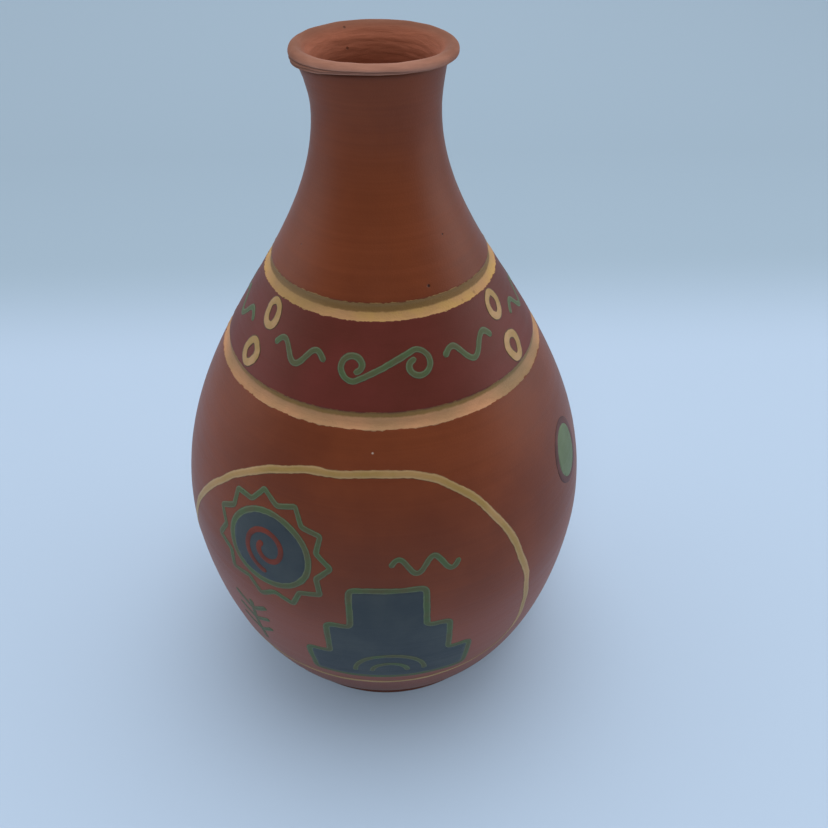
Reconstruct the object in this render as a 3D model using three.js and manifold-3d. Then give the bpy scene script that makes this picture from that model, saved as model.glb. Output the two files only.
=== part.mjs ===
// Terracotta bottle vase: one thrown clay body, with two turned grooves and coats of coloured slip.
// Millimetres, +Z up, origin at the centre of the underside.
// Azimuth 0 faces -Y and grows towards +X. A place on the clay is an azimuth and a height.
import * as THREE from 'three';
import { mergeVertices } from 'three/addons/utils/BufferGeometryUtils.js';
import Module from 'manifold-3d';

const wasm = await Module();
wasm.setup();

// Outside of the clay
const vaseHeight = 230;
const footRadius = 50;
const footHeight = 3;
const footChamfer = 0.6;
const bellyRadius = 72;
const bellyHeight = 74;
const waistRadius = 18.45;
const waistBelowRim = 17;

// Fullness of the curves between foot, belly and waist: handle lengths, and the slope at the foot in degrees
const footFlare = 49;
const footReach = 31;
const bellyReachDown = 4;
const bellyReachUp = 60.7;
const waistReachDown = 43;
const waistReachUp = 4;

// Rolled lip
const lipRadius = 22.9;
const lipWidth = 5.3;
const lipThickness = 3.4;
const lipCrease = 1.3;
const mouthDish = 2.6;

// Clay thickness
const floorThickness = 8;
const bellyWall = 5.5;
const neckWall = 3.9;

// Turned grooves that carry the gold: the lower one's height, and how far up the wall the other one is
const lowerGrooveHeight = 140.2;
const grooveSpacing = 31;
const grooveWidth = 5;
const grooveDepth = 0.9;

// Coats of slip and paint
const coatGap = 0.3;
const coatThickness = 0.3;
const strokeWidth = 2;
const outlineWidth = 2.4;
const frameWidth = 2.7;
const tipLength = 0.9;
const tipTaper = 0.5;

// Pairs of gold rings in the band, one above the other; some pairs lean to the right
const ringPairs = [
  { azimuth: -57, lean: 1.4 },
  { azimuth: 59, lean: 0 },
  { azimuth: 181, lean: 0.7 },
];
const ringWidth = 7.8;
const ringHeight = 9.8;
const ringLine = 2;
const ringClearance = 0.5;

// Green strokes in the band: a scroll half way between two pairs of rings, with a wave on either side
const scrollReach = 9;
const scrollRadius = 4.6;
const scrollInside = 1.7;
const waveClearance = 3.3;
const waveHeight = 6;
const waveHumps = 1.5;

// Painted panels on the belly, framed in gold
const panels = [
  { name: 'front', azimuth: -15 },
  { name: 'rear', azimuth: 165 },
];
const panelMiddleHeight = 55;
const panelBottomHeight = 30.5;
const panelHalfWidth = 70;
const panelBelowGroove = 14;
const panelTopLeftSquareness = 2;
const panelTopRightSquareness = 3;
const panelBottomSquareness = 3.4;

// The hand's own shape: the outline swells in one direction from the middle and is flatter in another, in degrees
const panelSwell = { share: 0.03, middle: 68, span: 14 };
const panelFlat = { share: -0.054, middle: 34, span: 24 };

// Sun in a panel, left of its middle and under its frame
const sunToLeft = 22;
const sunBelowFrame = 10;
const sunHalfWidth = 15;
const sunHalfHeight = 13.5;
const sunRays = 11;
const sunRayLength = 4;
const sunRayClearance = 1.2;
const spiralInside = 2.4;
const spiralClearance = 4.5;
const spiralTurns = 1.4;

// Stepped hill in a panel, right of its middle, with two arches in it
const hillToRight = 18;
const hillAboveFrame = 6.5;
const hillHalfWidth = 28;
const hillSteps = 3;
const hillStepRise = 17.5;
const hillStepRun = 8;
const archLift = 5;
const archRadii = [6.5, 12.5];

// Plant left of the hill, and a ripple above the hill
const plantFromHill = 22;
const plantLift = 4;
const plantLength = 26;
const plantLeafSpan = 7;
const plantLeafRise = 5;
const plantLeafPairs = 3;
const rippleToRight = 30;
const rippleAboveHill = 9;
const rippleLength = 22;
const rippleHeight = 6;
const rippleHumps = 2;

// Green discs between the panels
const discs = [
  { name: 'right', azimuth: 66 },
  { name: 'left', azimuth: 246 },
];
const discHeight = 106;
const discHalfWidth = 8.9;
const discHalfHeight = 10.8;

// Fineness of the faceted surfaces
const stepsAround = 48;
const facetLength = 11;
const strokeFacet = 7;
const ovalSteps = 14;
const ringSteps = 12;
const panelSteps = 120;
const archFacets = 7;
const curlFacets = 8;
const humpFacets = 6;
const lipFacetAngle = 30;
const grooveStations = [-0.8, 0, 0.8];

// Reach of a cutting wedge to either side of the clay's surface
const wedgeReach = 14;

// Half the chord that a normal is square to, how far a mitre may narrow, and when two corners are one
const normalChord = 0.5;
const mitreLimit = 0.35;
const weldDistance = 1e-4;

const clay = new THREE.MeshStandardMaterial({ color: 0x663829, roughness: 0.62, metalness: 0 });
const redSlip = new THREE.MeshStandardMaterial({ color: 0x582d28, roughness: 0.6, metalness: 0 });
const gold = new THREE.MeshStandardMaterial({ color: 0x9a7a55, roughness: 0.4, metalness: 0.35 });
const green = new THREE.MeshStandardMaterial({ color: 0x4e604a, roughness: 0.65, metalness: 0 });
const slate = new THREE.MeshStandardMaterial({ color: 0x333d47, roughness: 0.6, metalness: 0 });
const redPaint = new THREE.MeshStandardMaterial({ color: 0x6e3224, roughness: 0.65, metalness: 0 });

const group = new THREE.Group();

// The wall's line

const waistHeight = vaseHeight - waistBelowRim;
const lipUnderside = vaseHeight - lipThickness;
const creaseRadius = lipRadius - lipCrease;
const mouthRadius = lipRadius - lipWidth;

function point(x, y) {
  return new THREE.Vector2(x, y);
}

// Outer line of the clay from the top of the foot to the crease under the lip, without the grooves.
// Its points hold a radius as x and a height as y.
function wallLine() {
  const slope = THREE.MathUtils.degToRad(footFlare);
  const line = new THREE.CurvePath();
  line.add(new THREE.CubicBezierCurve(
    point(footRadius, footHeight),
    point(footRadius + footReach * Math.cos(slope), footHeight + footReach * Math.sin(slope)),
    point(bellyRadius, bellyHeight - bellyReachDown),
    point(bellyRadius, bellyHeight),
  ));
  line.add(new THREE.CubicBezierCurve(
    point(bellyRadius, bellyHeight),
    point(bellyRadius, bellyHeight + bellyReachUp),
    point(waistRadius, waistHeight - waistReachDown),
    point(waistRadius, waistHeight),
  ));
  line.add(new THREE.QuadraticBezierCurve(
    point(waistRadius, waistHeight),
    point(waistRadius, waistHeight + waistReachUp),
    point(creaseRadius, lipUnderside),
  ));
  return line;
}

const wall = wallLine();
const wallLength = wall.getLength();

// Point on the wall's line at a distance along it from the foot
function wallPoint(distance) {
  return wall.getPoint(THREE.MathUtils.clamp(distance / wallLength, 0, 1));
}

// Outward normal of the wall's line, from a short chord
function wallNormal(distance) {
  const along = wallPoint(distance + normalChord).sub(wallPoint(distance - normalChord)).normalize();
  return point(along.y, -along.x);
}

// Distance along the wall's line at which it reaches a height
function distanceAt(height) {
  let low = 0;
  let high = wallLength;
  for (let halving = 0; halving < 40; halving++) {
    const middle = (low + high) / 2;
    if (wallPoint(middle).y < height) low = middle;
    else high = middle;
  }
  return (low + high) / 2;
}

const bellyDistance = distanceAt(bellyHeight);
const waistDistance = distanceAt(waistHeight);
const lowerGroove = distanceAt(lowerGrooveHeight);
const grooves = [lowerGroove, lowerGroove + grooveSpacing];
const grooveHalf = grooveWidth / 2;

// Depth of the turned grooves, half round in section
function grooveDepthAt(distance) {
  const across = Math.min(...grooves.map((middle) => Math.abs(distance - middle))) / grooveHalf;
  return across < 1 ? grooveDepth * Math.sqrt(1 - across * across) : 0;
}

// Point above the clay's surface, grooves included
function surfacePoint(distance, lift = 0) {
  return wallPoint(distance).addScaledVector(wallNormal(distance), lift - grooveDepthAt(distance));
}

// Evenly spaced values from one end to the other, no further apart than the step
function spread(from, to, step) {
  const count = Math.max(1, Math.ceil((to - from) / step));
  return Array.from({ length: count + 1 }, (_, i) => from + (to - from) * i / count);
}

// Distances up the wall at which the surfaces have corners: even facets, a corner at the belly's widest
// ring, and more across each groove
function wallStations() {
  const distances = spread(0, bellyDistance, facetLength).slice(0, -1);
  let from = bellyDistance;
  for (const middle of grooves) {
    const inGroove = grooveStations.map((across) => middle + across * grooveHalf);
    distances.push(...spread(from, middle - grooveHalf, facetLength), ...inGroove);
    from = middle + grooveHalf;
  }
  distances.push(...spread(from, waistDistance, facetLength));
  distances.push(...spread(waistDistance, wallLength, facetLength).slice(1));
  return distances;
}

const stations = wallStations();

// Turned solids

// Solid of revolution about +Z from a closed outline of radius and height
function turned(outline) {
  return new THREE.LatheGeometry(outline, stepsAround).rotateX(Math.PI / 2);
}

// Same geometry with shared corners, and without the triangles that close up on the axis
function welded(geometry) {
  const bare = geometry.clone();
  bare.deleteAttribute('normal');
  bare.deleteAttribute('uv');
  const merged = mergeVertices(bare, weldDistance);
  const corners = merged.index.array;
  const kept = [];
  for (let i = 0; i < corners.length; i += 3) {
    const [a, b, c] = [corners[i], corners[i + 1], corners[i + 2]];
    if (a !== b && b !== c && c !== a) kept.push(a, b, c);
  }
  merged.setIndex(kept);
  return merged;
}

function toSolid(geometry) {
  const mesh = welded(geometry);
  return new wasm.Manifold(new wasm.Mesh({
    numProp: 3,
    vertProperties: new Float32Array(mesh.attributes.position.array),
    triVerts: new Uint32Array(mesh.index.array),
  }));
}

function toGeometry(solid) {
  const mesh = solid.getMesh();
  const geometry = new THREE.BufferGeometry();
  geometry.setAttribute('position', new THREE.BufferAttribute(mesh.vertProperties, 3));
  geometry.setIndex(new THREE.BufferAttribute(mesh.triVerts, 1));
  geometry.computeVertexNormals();
  return geometry;
}

function addPiece(name, geometry, material) {
  const mesh = new THREE.Mesh(geometry, material);
  mesh.name = name;
  group.add(mesh);
}

// Height of a coat's lower face above the clay: layer 0 lies on the clay and layer 1 on another coat
function layerLift(layer) {
  return coatGap + layer * (coatGap + coatThickness);
}

// Coat that lies on the clay all round, between two distances along the wall
function girdle(from, to) {
  const between = stations.filter((distance) => distance > from + coatGap && distance < to - coatGap);
  const rows = [from, ...between, to];
  const outside = rows.map((distance) => surfacePoint(distance, layerLift(0) + coatThickness));
  const inside = rows.map((distance) => surfacePoint(distance, layerLift(0))).reverse();
  return turned([...outside, ...inside, outside[0]]);
}

// Clay thickness where the outer wall has a given height: it thins towards the neck
function wallThickness(height) {
  const towardsNeck = THREE.MathUtils.smoothstep(height, bellyHeight, waistHeight);
  return THREE.MathUtils.lerp(bellyWall, neckWall, towardsNeck);
}

// Rolled lip: out of the crease, round the edge and over the dished top to the mouth
function lipOutline() {
  const roll = lipThickness / 2;
  const edge = spread(-2 * lipFacetAngle, 90, lipFacetAngle).map((degrees) => {
    const turn = THREE.MathUtils.degToRad(degrees);
    return point(lipRadius - roll + roll * Math.cos(turn), vaseHeight - roll + roll * Math.sin(turn));
  });
  const top = point((mouthRadius + lipRadius - roll) / 2, vaseHeight - mouthDish / 4);
  return [...edge, top, point(mouthRadius, vaseHeight - mouthDish)];
}

// Inside of the vase from the throat down to the middle of the floor, with a slanting corner at the floor
function hollowOutline() {
  const inside = spread(0, waistDistance, 2 * facetLength).reverse().map((distance) => {
    const outer = wallPoint(distance);
    return outer.addScaledVector(wallNormal(distance), -wallThickness(outer.y));
  });
  const aboveFloor = inside.filter((corner) => corner.y > floorThickness + bellyWall);
  const lowest = aboveFloor[aboveFloor.length - 1];
  const corner = point(lowest.x - (lowest.y - floorThickness), floorThickness);
  return [...aboveFloor, corner, point(0, floorThickness)];
}

function thrownBody() {
  return turned([
    point(0, 0),
    point(footRadius - footChamfer, 0),
    point(footRadius, footChamfer),
    ...stations.map((distance) => surfacePoint(distance)),
    ...lipOutline(),
    ...hollowOutline(),
  ]);
}

// Outlines of painted shapes, flat, in millimetres to the right and up

function ovalLoop(halfWidth, halfHeight, steps) {
  return Array.from({ length: steps }, (_, i) => {
    const turn = 2 * Math.PI * i / steps;
    return point(halfWidth * Math.cos(turn), halfHeight * Math.sin(turn));
  });
}

// How far a corner moves so that both of the lines that meet in it move sideways by the same distance.
// The vectors are unit normals of the two lines, both on the side that the corner moves to.
function mitred(firstNormal, secondNormal, distance) {
  const mitre = firstNormal.clone().add(secondNormal).normalize();
  return mitre.multiplyScalar(distance / Math.max(mitreLimit, mitre.dot(firstNormal)));
}

// Unit normal on the right of the line from one point to another
function rightOf(from, to) {
  const along = to.clone().sub(from).normalize();
  return point(along.y, -along.x);
}

// Loop moved outwards, or inwards if the distance is negative, with mitred corners
function offsetLoop(loop, distance) {
  return loop.map((corner, i) => {
    const before = loop[(i + loop.length - 1) % loop.length];
    const after = loop[(i + 1) % loop.length];
    return corner.clone().add(mitred(rightOf(before, corner), rightOf(corner, after), distance));
  });
}

// Rows of a brush line: its middle, and the way from there to its right edge. An open line's ends taper.
function brushRows(path, width, closed) {
  const last = path.length - 1;
  const rows = path.map((middle, i) => {
    const before = closed || i > 0 ? rightOf(path[i > 0 ? i - 1 : last], middle) : null;
    const after = closed || i < last ? rightOf(middle, path[i < last ? i + 1 : 0]) : null;
    return { middle, right: mitred(before ?? after, after ?? before, width / 2) };
  });
  return closed ? rows : [brushTip(rows[0], -1), ...rows, brushTip(rows[last], 1)];
}

// Tapered row ahead of a row, or behind it; its length and taper are shares of half the line's width
function brushTip({ middle, right }, ahead) {
  const forward = point(-right.y, right.x);
  return {
    middle: middle.clone().addScaledVector(forward, ahead * tipLength),
    right: right.clone().multiplyScalar(tipTaper),
  };
}

// Flat outline of an open stroke
function strokeShape(path) {
  const rows = brushRows(path, strokeWidth, false);
  const rightSide = rows.map(({ middle, right }) => middle.clone().add(right));
  const leftSide = rows.map(({ middle, right }) => middle.clone().sub(right));
  return new THREE.Shape([...rightSide, ...leftSide.reverse()]);
}

// Path or loop with further corners along its long sides
function subdivided(path, closed) {
  return path.flatMap((corner, i) => {
    if (!closed && i === path.length - 1) return [corner];
    const next = path[(i + 1) % path.length];
    const count = Math.ceil(corner.distanceTo(next) / strokeFacet);
    return Array.from({ length: count }, (_, k) => corner.clone().lerp(next, k / count));
  });
}

// Wave that runs to the right, about its middle
function wavePath(length, height, humps) {
  const steps = Math.round(humps * humpFacets);
  return Array.from({ length: steps + 1 }, (_, i) => point(
    length * (i / steps - 0.5),
    height / 2 * Math.sin(2 * Math.PI * humps * i / steps),
  ));
}

function archPath(radius) {
  return Array.from({ length: archFacets + 1 }, (_, i) => {
    const turn = Math.PI * (1 - i / archFacets);
    return point(radius * Math.cos(turn), radius * Math.sin(turn));
  });
}

// Spiral from its inner end to its outer end, which is at the bottom
function spiralPath(inside, outside, turns) {
  const steps = Math.ceil(turns * curlFacets);
  return Array.from({ length: steps + 1 }, (_, i) => {
    const radius = THREE.MathUtils.lerp(inside, outside, i / steps);
    const turn = 2 * Math.PI * turns * (i / steps - 1) - Math.PI / 2;
    return point(radius * Math.cos(turn), radius * Math.sin(turn));
  });
}

// Lying S whose ends curl in: a curl on the left, and the same curl turned about the middle on the right
function scrollPath() {
  const curl = spiralPath(scrollInside, scrollRadius, 1);
  const left = curl.map((corner) => point(corner.x - scrollReach, corner.y));
  const right = left.map((corner) => point(-corner.x, -corner.y)).reverse();
  return [...left, ...right];
}

// Zigzag loop round an oval, for the sun's rays
function raysLoop(halfWidth, halfHeight) {
  return Array.from({ length: 2 * sunRays }, (_, i) => {
    const turn = Math.PI * i / sunRays;
    const out = i % 2 ? 0 : sunRayLength;
    return point((halfWidth + out) * Math.cos(turn), (halfHeight + out) * Math.sin(turn));
  });
}

// Upright stem with pairs of leaves that slant up from it
function plantPaths() {
  const paths = [[point(0, 0), point(0, plantLength)]];
  for (let pair = 1; pair <= plantLeafPairs; pair++) {
    const foot = point(0, (plantLength - plantLeafRise) * pair / plantLeafPairs);
    for (const side of [-1, 1]) {
      paths.push([foot, point(side * plantLeafSpan, foot.y + plantLeafRise)]);
    }
  }
  return paths;
}

// Flat shapes laid on the clay

// Place on the clay: an azimuth and a height, and from there a shift to the right and up the wall
function spot(azimuth, height, x = 0, y = 0) {
  return { azimuth: THREE.MathUtils.degToRad(azimuth), distance: distanceAt(height), x, y };
}

// Turns flat corners into corners on the clay, lifted square to it and then moved level off the axis
function clayMap({ azimuth, distance, x, y }) {
  const middleRadius = wallPoint(distance).x;
  return (corner, lift, off) => {
    const turn = azimuth + (x + corner.x) / middleRadius;
    const up = distance + y + corner.y;
    const onWall = wallPoint(up).addScaledVector(wallNormal(up), lift);
    const radius = onWall.x + off;
    return new THREE.Vector3(radius * Math.sin(turn), -radius * Math.cos(turn), onWall.y);
  };
}

// Wedge that reaches through the wall to both sides of it, with a flat shape laid on the clay as its outline
function wedge(shape, place) {
  const toClay = clayMap(place);
  const geometry = new THREE.ExtrudeGeometry(shape, { depth: 2, steps: 2, bevelEnabled: false });
  const corners = geometry.attributes.position;
  for (let i = 0; i < corners.count; i++) {
    const flat = new THREE.Vector3().fromBufferAttribute(corners, i);
    const corner = toClay(flat, 0, (flat.z - 1) * wedgeReach);
    corners.setXYZ(i, ...corner.toArray());
  }
  return toSolid(geometry);
}

// Brush line that follows the clay: a closed loop, or an open stroke whose ends taper
function ribbon(path, width, place, layer, closed) {
  const toClay = clayMap(place);
  const bottom = layerLift(layer);
  const rows = brushRows(subdivided(path, closed), width, closed);
  const corners = rows.flatMap(({ middle, right }) => [
    toClay(middle.clone().add(right), bottom, 0),
    toClay(middle.clone().sub(right), bottom, 0),
    toClay(middle.clone().sub(right), bottom + coatThickness, 0),
    toClay(middle.clone().add(right), bottom + coatThickness, 0),
  ]);
  const faces = closed ? [] : [0, 3, 2, 0, 2, 1];
  const spans = closed ? rows.length : rows.length - 1;
  for (let i = 0; i < spans; i++) {
    const here = 4 * i;
    const next = 4 * ((i + 1) % rows.length);
    for (let side = 0; side < 4; side++) {
      const other = (side + 1) % 4;
      faces.push(here + side, here + other, next + other, here + side, next + other, next + side);
    }
  }
  const end = 4 * (rows.length - 1);
  if (!closed) faces.push(end, end + 1, end + 2, end, end + 2, end + 3);
  const geometry = new THREE.BufferGeometry().setFromPoints(corners);
  geometry.setIndex(faces);
  geometry.computeVertexNormals();
  return geometry;
}

// Coats of paint: a field is the part of a skin that wedges cut out, and a line is a ribbon

const bandFrom = grooves[0] + grooveHalf + coatGap;
const bandTo = grooves[1] - grooveHalf - coatGap;
const bandMiddle = wallPoint((bandFrom + bandTo) / 2);
const bellySkin = toSolid(girdle(footHeight, grooves[0] - grooveHalf - coatGap));

function paintField(name, material, shapes, place) {
  const cutter = shapes.map((shape) => wedge(shape, place)).reduce((whole, part) => whole.add(part));
  addPiece(name, toGeometry(bellySkin.intersect(cutter)), material);
}

function paintLoop(name, material, loop, width, place, layer = 0) {
  addPiece(name, ribbon(loop, width, place, layer, true), material);
}

function paintStroke(name, material, path, place, layer = 0) {
  addPiece(name, ribbon(path, strokeWidth, place, layer, false), material);
}

// Gold bands in their grooves, and what is painted on the red slip between them

function goldBand(middle) {
  return girdle(middle - grooveHalf + coatGap, middle + grooveHalf - coatGap);
}

function paintRingPair({ azimuth, lean }, number) {
  const loop = ovalLoop((ringWidth - ringLine) / 2, (ringHeight - ringLine) / 2, ringSteps);
  const rise = (bandTo - bandFrom - ringHeight) / 2 - ringClearance;
  for (const [end, side] of [['upper', 1], ['lower', -1]]) {
    const place = spot(azimuth, bandMiddle.y, side * lean, side * rise);
    paintLoop(`gold_ring_${number}_${end}`, gold, loop, ringLine, place, 1);
  }
}

// Scroll and waves between one azimuth and another, with a ring pair at each
function paintBandSection(from, to, number) {
  const middle = (from + to) / 2;
  const rings = THREE.MathUtils.degToRad(to - from) / 2 * bandMiddle.x - ringWidth / 2;
  const scrollEnd = scrollReach + scrollRadius + strokeWidth / 2;
  const wave = wavePath(rings - scrollEnd - 2 * waveClearance, waveHeight, waveHumps);
  paintStroke(`green_scroll_${number}`, green, scrollPath(), spot(middle, bandMiddle.y), 1);
  for (const [name, side] of [['left', -1], ['right', 1]]) {
    const place = spot(middle, bandMiddle.y, side * (rings + scrollEnd) / 2);
    paintStroke(`green_wave_${number}_${name}`, green, wave, place, 1);
  }
}

function paintBand() {
  ringPairs.forEach((pair, i) => {
    const last = i === ringPairs.length - 1;
    const nextAzimuth = last ? ringPairs[0].azimuth + 360 : ringPairs[i + 1].azimuth;
    paintRingPair(pair, i + 1);
    paintBandSection(pair.azimuth, nextAzimuth, i + 1);
  });
}

// Panels and discs on the belly; in a panel, places are shifts from its middle

const panelMiddle = distanceAt(panelMiddleHeight);
const panelRise = grooves[0] - grooveHalf - panelBelowGroove - panelMiddle;
const panelDrop = panelMiddle - distanceAt(panelBottomHeight);
const hillBase = hillAboveFrame - panelDrop;

// How much further out the outline lies in a direction from the panel's middle
function panelFullness(direction) {
  const stretches = [panelSwell, panelFlat];
  return stretches.reduce((sum, s) => sum + s.share * Math.exp(-(((direction - s.middle) / s.span) ** 2)), 1);
}

// Rounded outline of a panel: a high arched top, fuller on the right, and a low, squarer bottom
function panelLoop() {
  const corners = Array.from({ length: panelSteps }, (_, i) => {
    const turn = 2 * Math.PI * (i + 0.5) / panelSteps;
    const topSquareness = Math.cos(turn) > 0 ? panelTopRightSquareness : panelTopLeftSquareness;
    const squareness = Math.sin(turn) > 0 ? topSquareness : panelBottomSquareness;
    const reach = Math.sin(turn) > 0 ? panelRise : panelDrop;
    const corner = point(
      panelHalfWidth * Math.sign(Math.cos(turn)) * Math.abs(Math.cos(turn)) ** (2 / squareness),
      reach * Math.sign(Math.sin(turn)) * Math.abs(Math.sin(turn)) ** (2 / squareness),
    );
    return corner.multiplyScalar(panelFullness(THREE.MathUtils.radToDeg(Math.atan2(corner.y, corner.x))));
  });
  const outline = new THREE.Path([...corners, corners[0]]);
  return outline.getSpacedPoints(Math.ceil(outline.getLength() / strokeFacet)).slice(0, -1);
}

// Stepped outline of the hill, standing on its base line
function hillLoop() {
  const right = Array.from({ length: hillSteps }, (_, step) => {
    const halfWidth = hillHalfWidth - step * hillStepRun;
    return [point(halfWidth, step * hillStepRise), point(halfWidth, (step + 1) * hillStepRise)];
  }).flat();
  const left = right.map((corner) => point(-corner.x, corner.y)).reverse();
  return [...right, ...left];
}

function paintSun(panel, at) {
  const raysFoot = (outlineWidth + strokeWidth) / 2 + sunRayClearance;
  const overallHalf = sunHalfHeight + raysFoot + sunRayLength + strokeWidth / 2;
  const place = at(-sunToLeft, panelRise - sunBelowFrame - overallHalf);
  const rays = raysLoop(sunHalfWidth + raysFoot, sunHalfHeight + raysFoot);
  const edge = ovalLoop(sunHalfWidth, sunHalfHeight, ovalSteps);
  const field = offsetLoop(edge, -outlineWidth / 2 - coatGap);
  const spiral = spiralPath(spiralInside, sunHalfHeight - spiralClearance, spiralTurns);
  paintField(`${panel}_sun_field`, slate, [new THREE.Shape(field)], place);
  paintLoop(`${panel}_sun_edge`, green, edge, outlineWidth, place);
  paintLoop(`${panel}_sun_rays`, green, rays, strokeWidth, place);
  paintStroke(`${panel}_sun_spiral`, redPaint, spiral, place, 1);
}

function paintHill(panel, at) {
  const edge = hillLoop();
  const field = offsetLoop(edge, -outlineWidth / 2 - coatGap);
  const place = at(hillToRight, hillBase);
  const archPlace = at(hillToRight, hillBase + archLift);
  paintField(`${panel}_hill_field`, slate, [new THREE.Shape(field)], place);
  paintLoop(`${panel}_hill_edge`, green, edge, outlineWidth, place);
  archRadii.forEach((radius, i) => {
    paintStroke(`${panel}_hill_arch_${i + 1}`, green, archPath(radius), archPlace, 1);
  });
}

function paintPanel({ name, azimuth }) {
  const at = (x, y) => spot(azimuth, panelMiddleHeight, x, y);
  const plantPlace = at(hillToRight - hillHalfWidth - plantFromHill, hillBase + plantLift);
  const ripplePlace = at(rippleToRight, hillBase + hillSteps * hillStepRise + rippleAboveHill);
  const ripple = wavePath(rippleLength, rippleHeight, rippleHumps);
  paintLoop(`${name}_gold_frame`, gold, panelLoop(), frameWidth, at(0, 0));
  paintSun(name, at);
  paintHill(name, at);
  paintField(`${name}_plant`, green, plantPaths().map(strokeShape), plantPlace);
  paintStroke(`${name}_ripple`, green, ripple, ripplePlace);
}

function paintDisc({ name, azimuth }) {
  const place = spot(azimuth, discHeight);
  const edge = ovalLoop(discHalfWidth, discHalfHeight, ovalSteps);
  const field = offsetLoop(edge, -strokeWidth / 2 - coatGap);
  paintField(`${name}_disc_field`, green, [new THREE.Shape(field)], place);
  paintLoop(`${name}_disc_edge`, redSlip, edge, strokeWidth, place);
}

addPiece('thrown_body', welded(thrownBody()), clay);
addPiece('lower_gold_band', welded(goldBand(grooves[0])), gold);
addPiece('upper_gold_band', welded(goldBand(grooves[1])), gold);
addPiece('shoulder_red_slip', welded(girdle(bandFrom, bandTo)), redSlip);
paintBand();
panels.forEach(paintPanel);
discs.forEach(paintDisc);

export default group;
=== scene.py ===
import bisect
import math

import bmesh
import bpy
from mathutils import Matrix, Vector, noise
from mathutils.geometry import interpolate_bezier


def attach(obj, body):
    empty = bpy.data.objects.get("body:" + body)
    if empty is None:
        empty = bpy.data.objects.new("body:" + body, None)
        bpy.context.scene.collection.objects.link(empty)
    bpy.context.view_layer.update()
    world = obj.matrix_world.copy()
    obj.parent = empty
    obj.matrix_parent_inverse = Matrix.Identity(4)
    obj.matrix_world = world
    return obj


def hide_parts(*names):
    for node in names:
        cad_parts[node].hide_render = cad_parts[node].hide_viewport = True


# Painted terracotta bottle vase on a pale floor.
# Shapes are modelled in millimetres and made metres as each piece is finished.
# Azimuth 0 faces -Y and grows towards +X. A turn is an azimuth in radians.

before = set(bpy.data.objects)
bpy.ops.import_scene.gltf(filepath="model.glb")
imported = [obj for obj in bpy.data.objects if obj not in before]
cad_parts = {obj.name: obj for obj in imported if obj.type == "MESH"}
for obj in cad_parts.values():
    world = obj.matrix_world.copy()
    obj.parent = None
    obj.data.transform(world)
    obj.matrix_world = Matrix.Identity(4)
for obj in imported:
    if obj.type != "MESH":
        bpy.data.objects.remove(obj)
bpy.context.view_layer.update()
mm = 0.001
weldWithin = 0.0005  # millimetres
noise.seed_set(5)  # the brush wanders the same way in each run
print("frame loaded,", len(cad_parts), "nodes")


# The clay's outer line: foot, belly, waist of the neck, crease under the lip

wall = {
    "footRadius": 50.0, "footHeight": 3.0, "footFlare": 49.0, "footReach": 31.0,
    "bellyRadius": 72.0, "bellyHeight": 74.0, "bellyReachDown": 4.0, "bellyReachUp": 60.7,
    "waistRadius": 18.45, "waistHeight": 213.0, "waistReachDown": 43.0, "waistReachUp": 4.0,
    "creaseRadius": 20.3, "creaseHeight": 226.6,
    "bellyThickness": 5.5, "neckThickness": 3.9, "floorThickness": 8.0,
    "lowerGroove": 140.2, "grooveSpacing": 31.0, "grooveHalf": 2.5, "grooveDepth": 0.9,
    "grooveRound": 0.6,  # 0.5 is a half ellipse, 1 a parabola
    "fineness": 240,  # points on each of the three curves
}


def bezier(ends, count):
    # ends are the start, two handles and the end
    return [Vector(p[:2]) for p in interpolate_bezier(*ends, count)]


def reachAlong(line):
    # how far along the line each of its points is
    reach = [0.0]
    for a, b in zip(line, line[1:]):
        reach.append(reach[-1] + (b - a).length)
    return reach


def placeIn(steps, value):
    # the step that a value comes after, and its share of the way to the next
    i = min(max(bisect.bisect_right(steps, value) - 1, 0), len(steps) - 2)
    return i, (value - steps[i]) / max(steps[i + 1] - steps[i], 1e-9)


def drawWall():
    up = Vector((0, 1))
    flare = math.radians(wall["footFlare"])
    foot = Vector((wall["footRadius"], wall["footHeight"]))
    belly = Vector((wall["bellyRadius"], wall["bellyHeight"]))
    waist = Vector((wall["waistRadius"], wall["waistHeight"]))
    crease = Vector((wall["creaseRadius"], wall["creaseHeight"]))
    throat = waist + up * wall["waistReachUp"]
    curves = [
        (foot, foot + Vector((math.cos(flare), math.sin(flare))) * wall["footReach"],
         belly - up * wall["bellyReachDown"], belly),
        (belly, belly + up * wall["bellyReachUp"], waist - up * wall["waistReachDown"], waist),
        (waist, waist.lerp(throat, 2 / 3), crease.lerp(throat, 2 / 3), crease),
    ]
    points = [foot]
    for ends in curves:
        points += bezier(ends, wall["fineness"])[1:]
    return points


wallLine = drawWall()
wallHeights = [p.y for p in wallLine]
wallReach = reachAlong(wallLine)
wallLength = wallReach[-1]
wallNormals = []
for a, b in zip([wallLine[0]] + wallLine, wallLine[1:] + [wallLine[-1]]):
    along = (b - a).normalized()
    wallNormals.append(Vector((along.y, -along.x)))


def wallAt(distance):
    # point and outward normal of the line, so far along it from the foot
    i, share = placeIn(wallReach, min(max(distance, 0.0), wallLength))
    normal = wallNormals[i].lerp(wallNormals[i + 1], share).normalized()
    return wallLine[i].lerp(wallLine[i + 1], share), normal


def radiusAt(distance):
    return wallAt(distance)[0].x


def distanceAt(height):
    i, share = placeIn(wallHeights, height)
    return wallReach[i] + share * (wallReach[i + 1] - wallReach[i])


def onCircle(turn, radius, height):
    return Vector((radius * math.sin(turn), -radius * math.cos(turn), height))


grooves = [distanceAt(wall["lowerGroove"]), distanceAt(wall["lowerGroove"]) + wall["grooveSpacing"]]
grooveHalf = wall["grooveHalf"]
grooveRows = [-1.0, -0.96, -0.88, -0.74, -0.55, -0.3, 0.0, 0.3, 0.55, 0.74, 0.88, 0.96, 1.0]


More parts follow.
